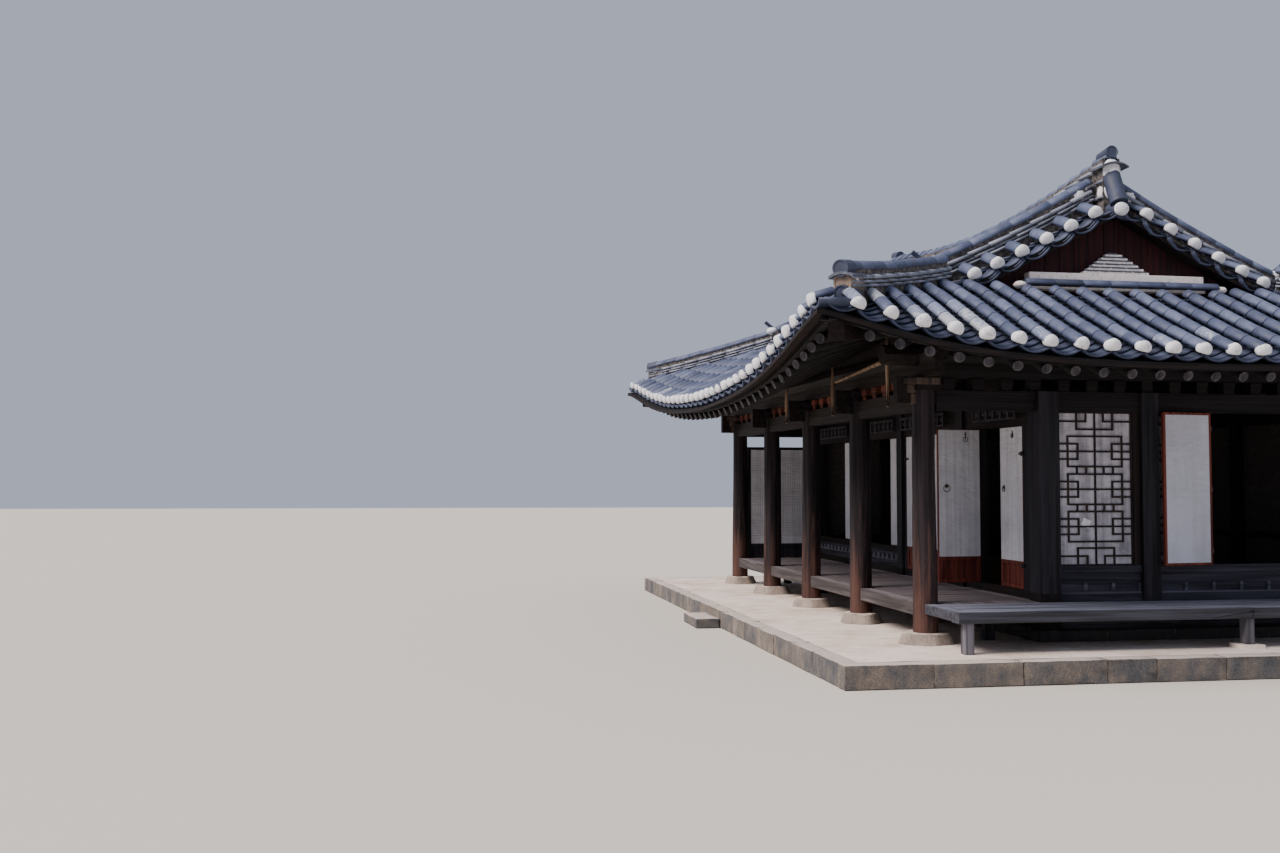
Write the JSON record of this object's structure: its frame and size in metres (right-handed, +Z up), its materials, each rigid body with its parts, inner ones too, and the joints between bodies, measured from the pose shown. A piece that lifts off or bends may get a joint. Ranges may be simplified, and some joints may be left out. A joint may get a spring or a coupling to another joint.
{
  "type": "hanok house",
  "caption": "Timber hanok house with a hip-and-gable tiled roof, an open veranda, papered doors and a long side bench on a low stone platform.",
  "frame": {"origin": "on the ground, under the middle of the stone platform", "axes": "+Z up, -X towards the veranda side, -Y towards the end with the bench"},
  "size_m": [8.8903, 11.54, 6.005],
  "materials": {
    "granite": "rough split granite",
    "lime_floor": "rammed lime and sand",
    "dark_timber": "weathered dark pine",
    "weathered_boards": "worn grey floor boards",
    "red_boards": "red-brown stained boards",
    "door_paper": "mulberry paper on wooden leaves",
    "clay_tile": "dark fired clay with lime joints"
  },
  "bodies": {
    "house": {"platform_curb": "granite", "platform_floor": "lime_floor", "step_stone": "granite", "veranda_column_1": "dark_timber", "veranda_column_2": "dark_timber", "veranda_column_3": "dark_timber", "veranda_column_4": "dark_timber", "veranda_column_5": "dark_timber", "veranda_floor": "weathered_boards", "side_bench": "weathered_boards", "room_floor": "lime_floor", "front_eave_beam": "dark_timber", "back_eave_beam": "dark_timber", "bench_end_beam": "dark_timber", "far_end_beam": "dark_timber", "front_roof_boards": "dark_timber", "back_roof_boards": "dark_timber", "bench_end_roof_boards": "dark_timber", "far_end_roof_boards": "dark_timber", "front_roof_tiles": "clay_tile", "back_roof_tiles": "clay_tile", "bench_end_roof_tiles": "clay_tile", "far_end_roof_tiles": "clay_tile", "veranda_wall_post_1": "dark_timber", "veranda_wall_post_2": "dark_timber", "veranda_wall_post_3": "dark_timber", "veranda_wall_post_4": "dark_timber", "veranda_wall_post_5": "dark_timber", "veranda_wall_sill": "dark_timber", "veranda_wall_head": "dark_timber", "bench_end_sill": "dark_timber", "bench_end_post": "dark_timber", "lattice_window": "door_paper", "side_window_leaves_1": "door_paper", "side_window_leaves_2": "door_paper", "far_end_wall": "dark_timber", "veranda_end_screen": "door_paper", "back_wall": "dark_timber", "veranda_window_leaf_1": "door_paper", "veranda_window_leaf_2": "door_paper", "bench_end_gable": "red_boards", "far_end_gable": "red_boards", "main_ridge": "clay_tile", "descending_ridge_1": "clay_tile", "descending_ridge_2": "clay_tile", "descending_ridge_3": "clay_tile", "descending_ridge_4": "clay_tile", "hip_ridge_1": "clay_tile", "hip_ridge_2": "clay_tile", "hip_ridge_3": "clay_tile", "hip_ridge_4": "clay_tile"},
    "door_1_near": {"door_1_near_leaf": "door_paper"},
    "door_1_far": {"door_1_far_leaf": "door_paper"},
    "door_2_near": {"door_2_near_leaf": "door_paper"},
    "door_2_far": {"door_2_far_leaf": "door_paper"}
  },
  "joints": [
    {"name": "door_1_near_hinge", "type": "hinge", "parent": "house", "child": "door_1_near", "pos_m": [-1.326, -3.725, 1.7], "axis": [0, 0, 1], "range_deg": [0, 100]},
    {"name": "door_1_far_hinge", "type": "hinge", "parent": "house", "child": "door_1_far", "pos_m": [-1.326, -2.575, 1.7], "axis": [0, 0, 1], "range_deg": [-14, 86]},
    {"name": "door_2_near_hinge", "type": "hinge", "parent": "house", "child": "door_2_near", "pos_m": [-1.326, -1.695, 1.7], "axis": [0, 0, 1], "range_deg": [0, 100]},
    {"name": "door_2_far_hinge", "type": "hinge", "parent": "house", "child": "door_2_far", "pos_m": [-1.326, -0.185, 1.7], "axis": [0, 0, 1], "range_deg": [-100, 0]}
  ]
}
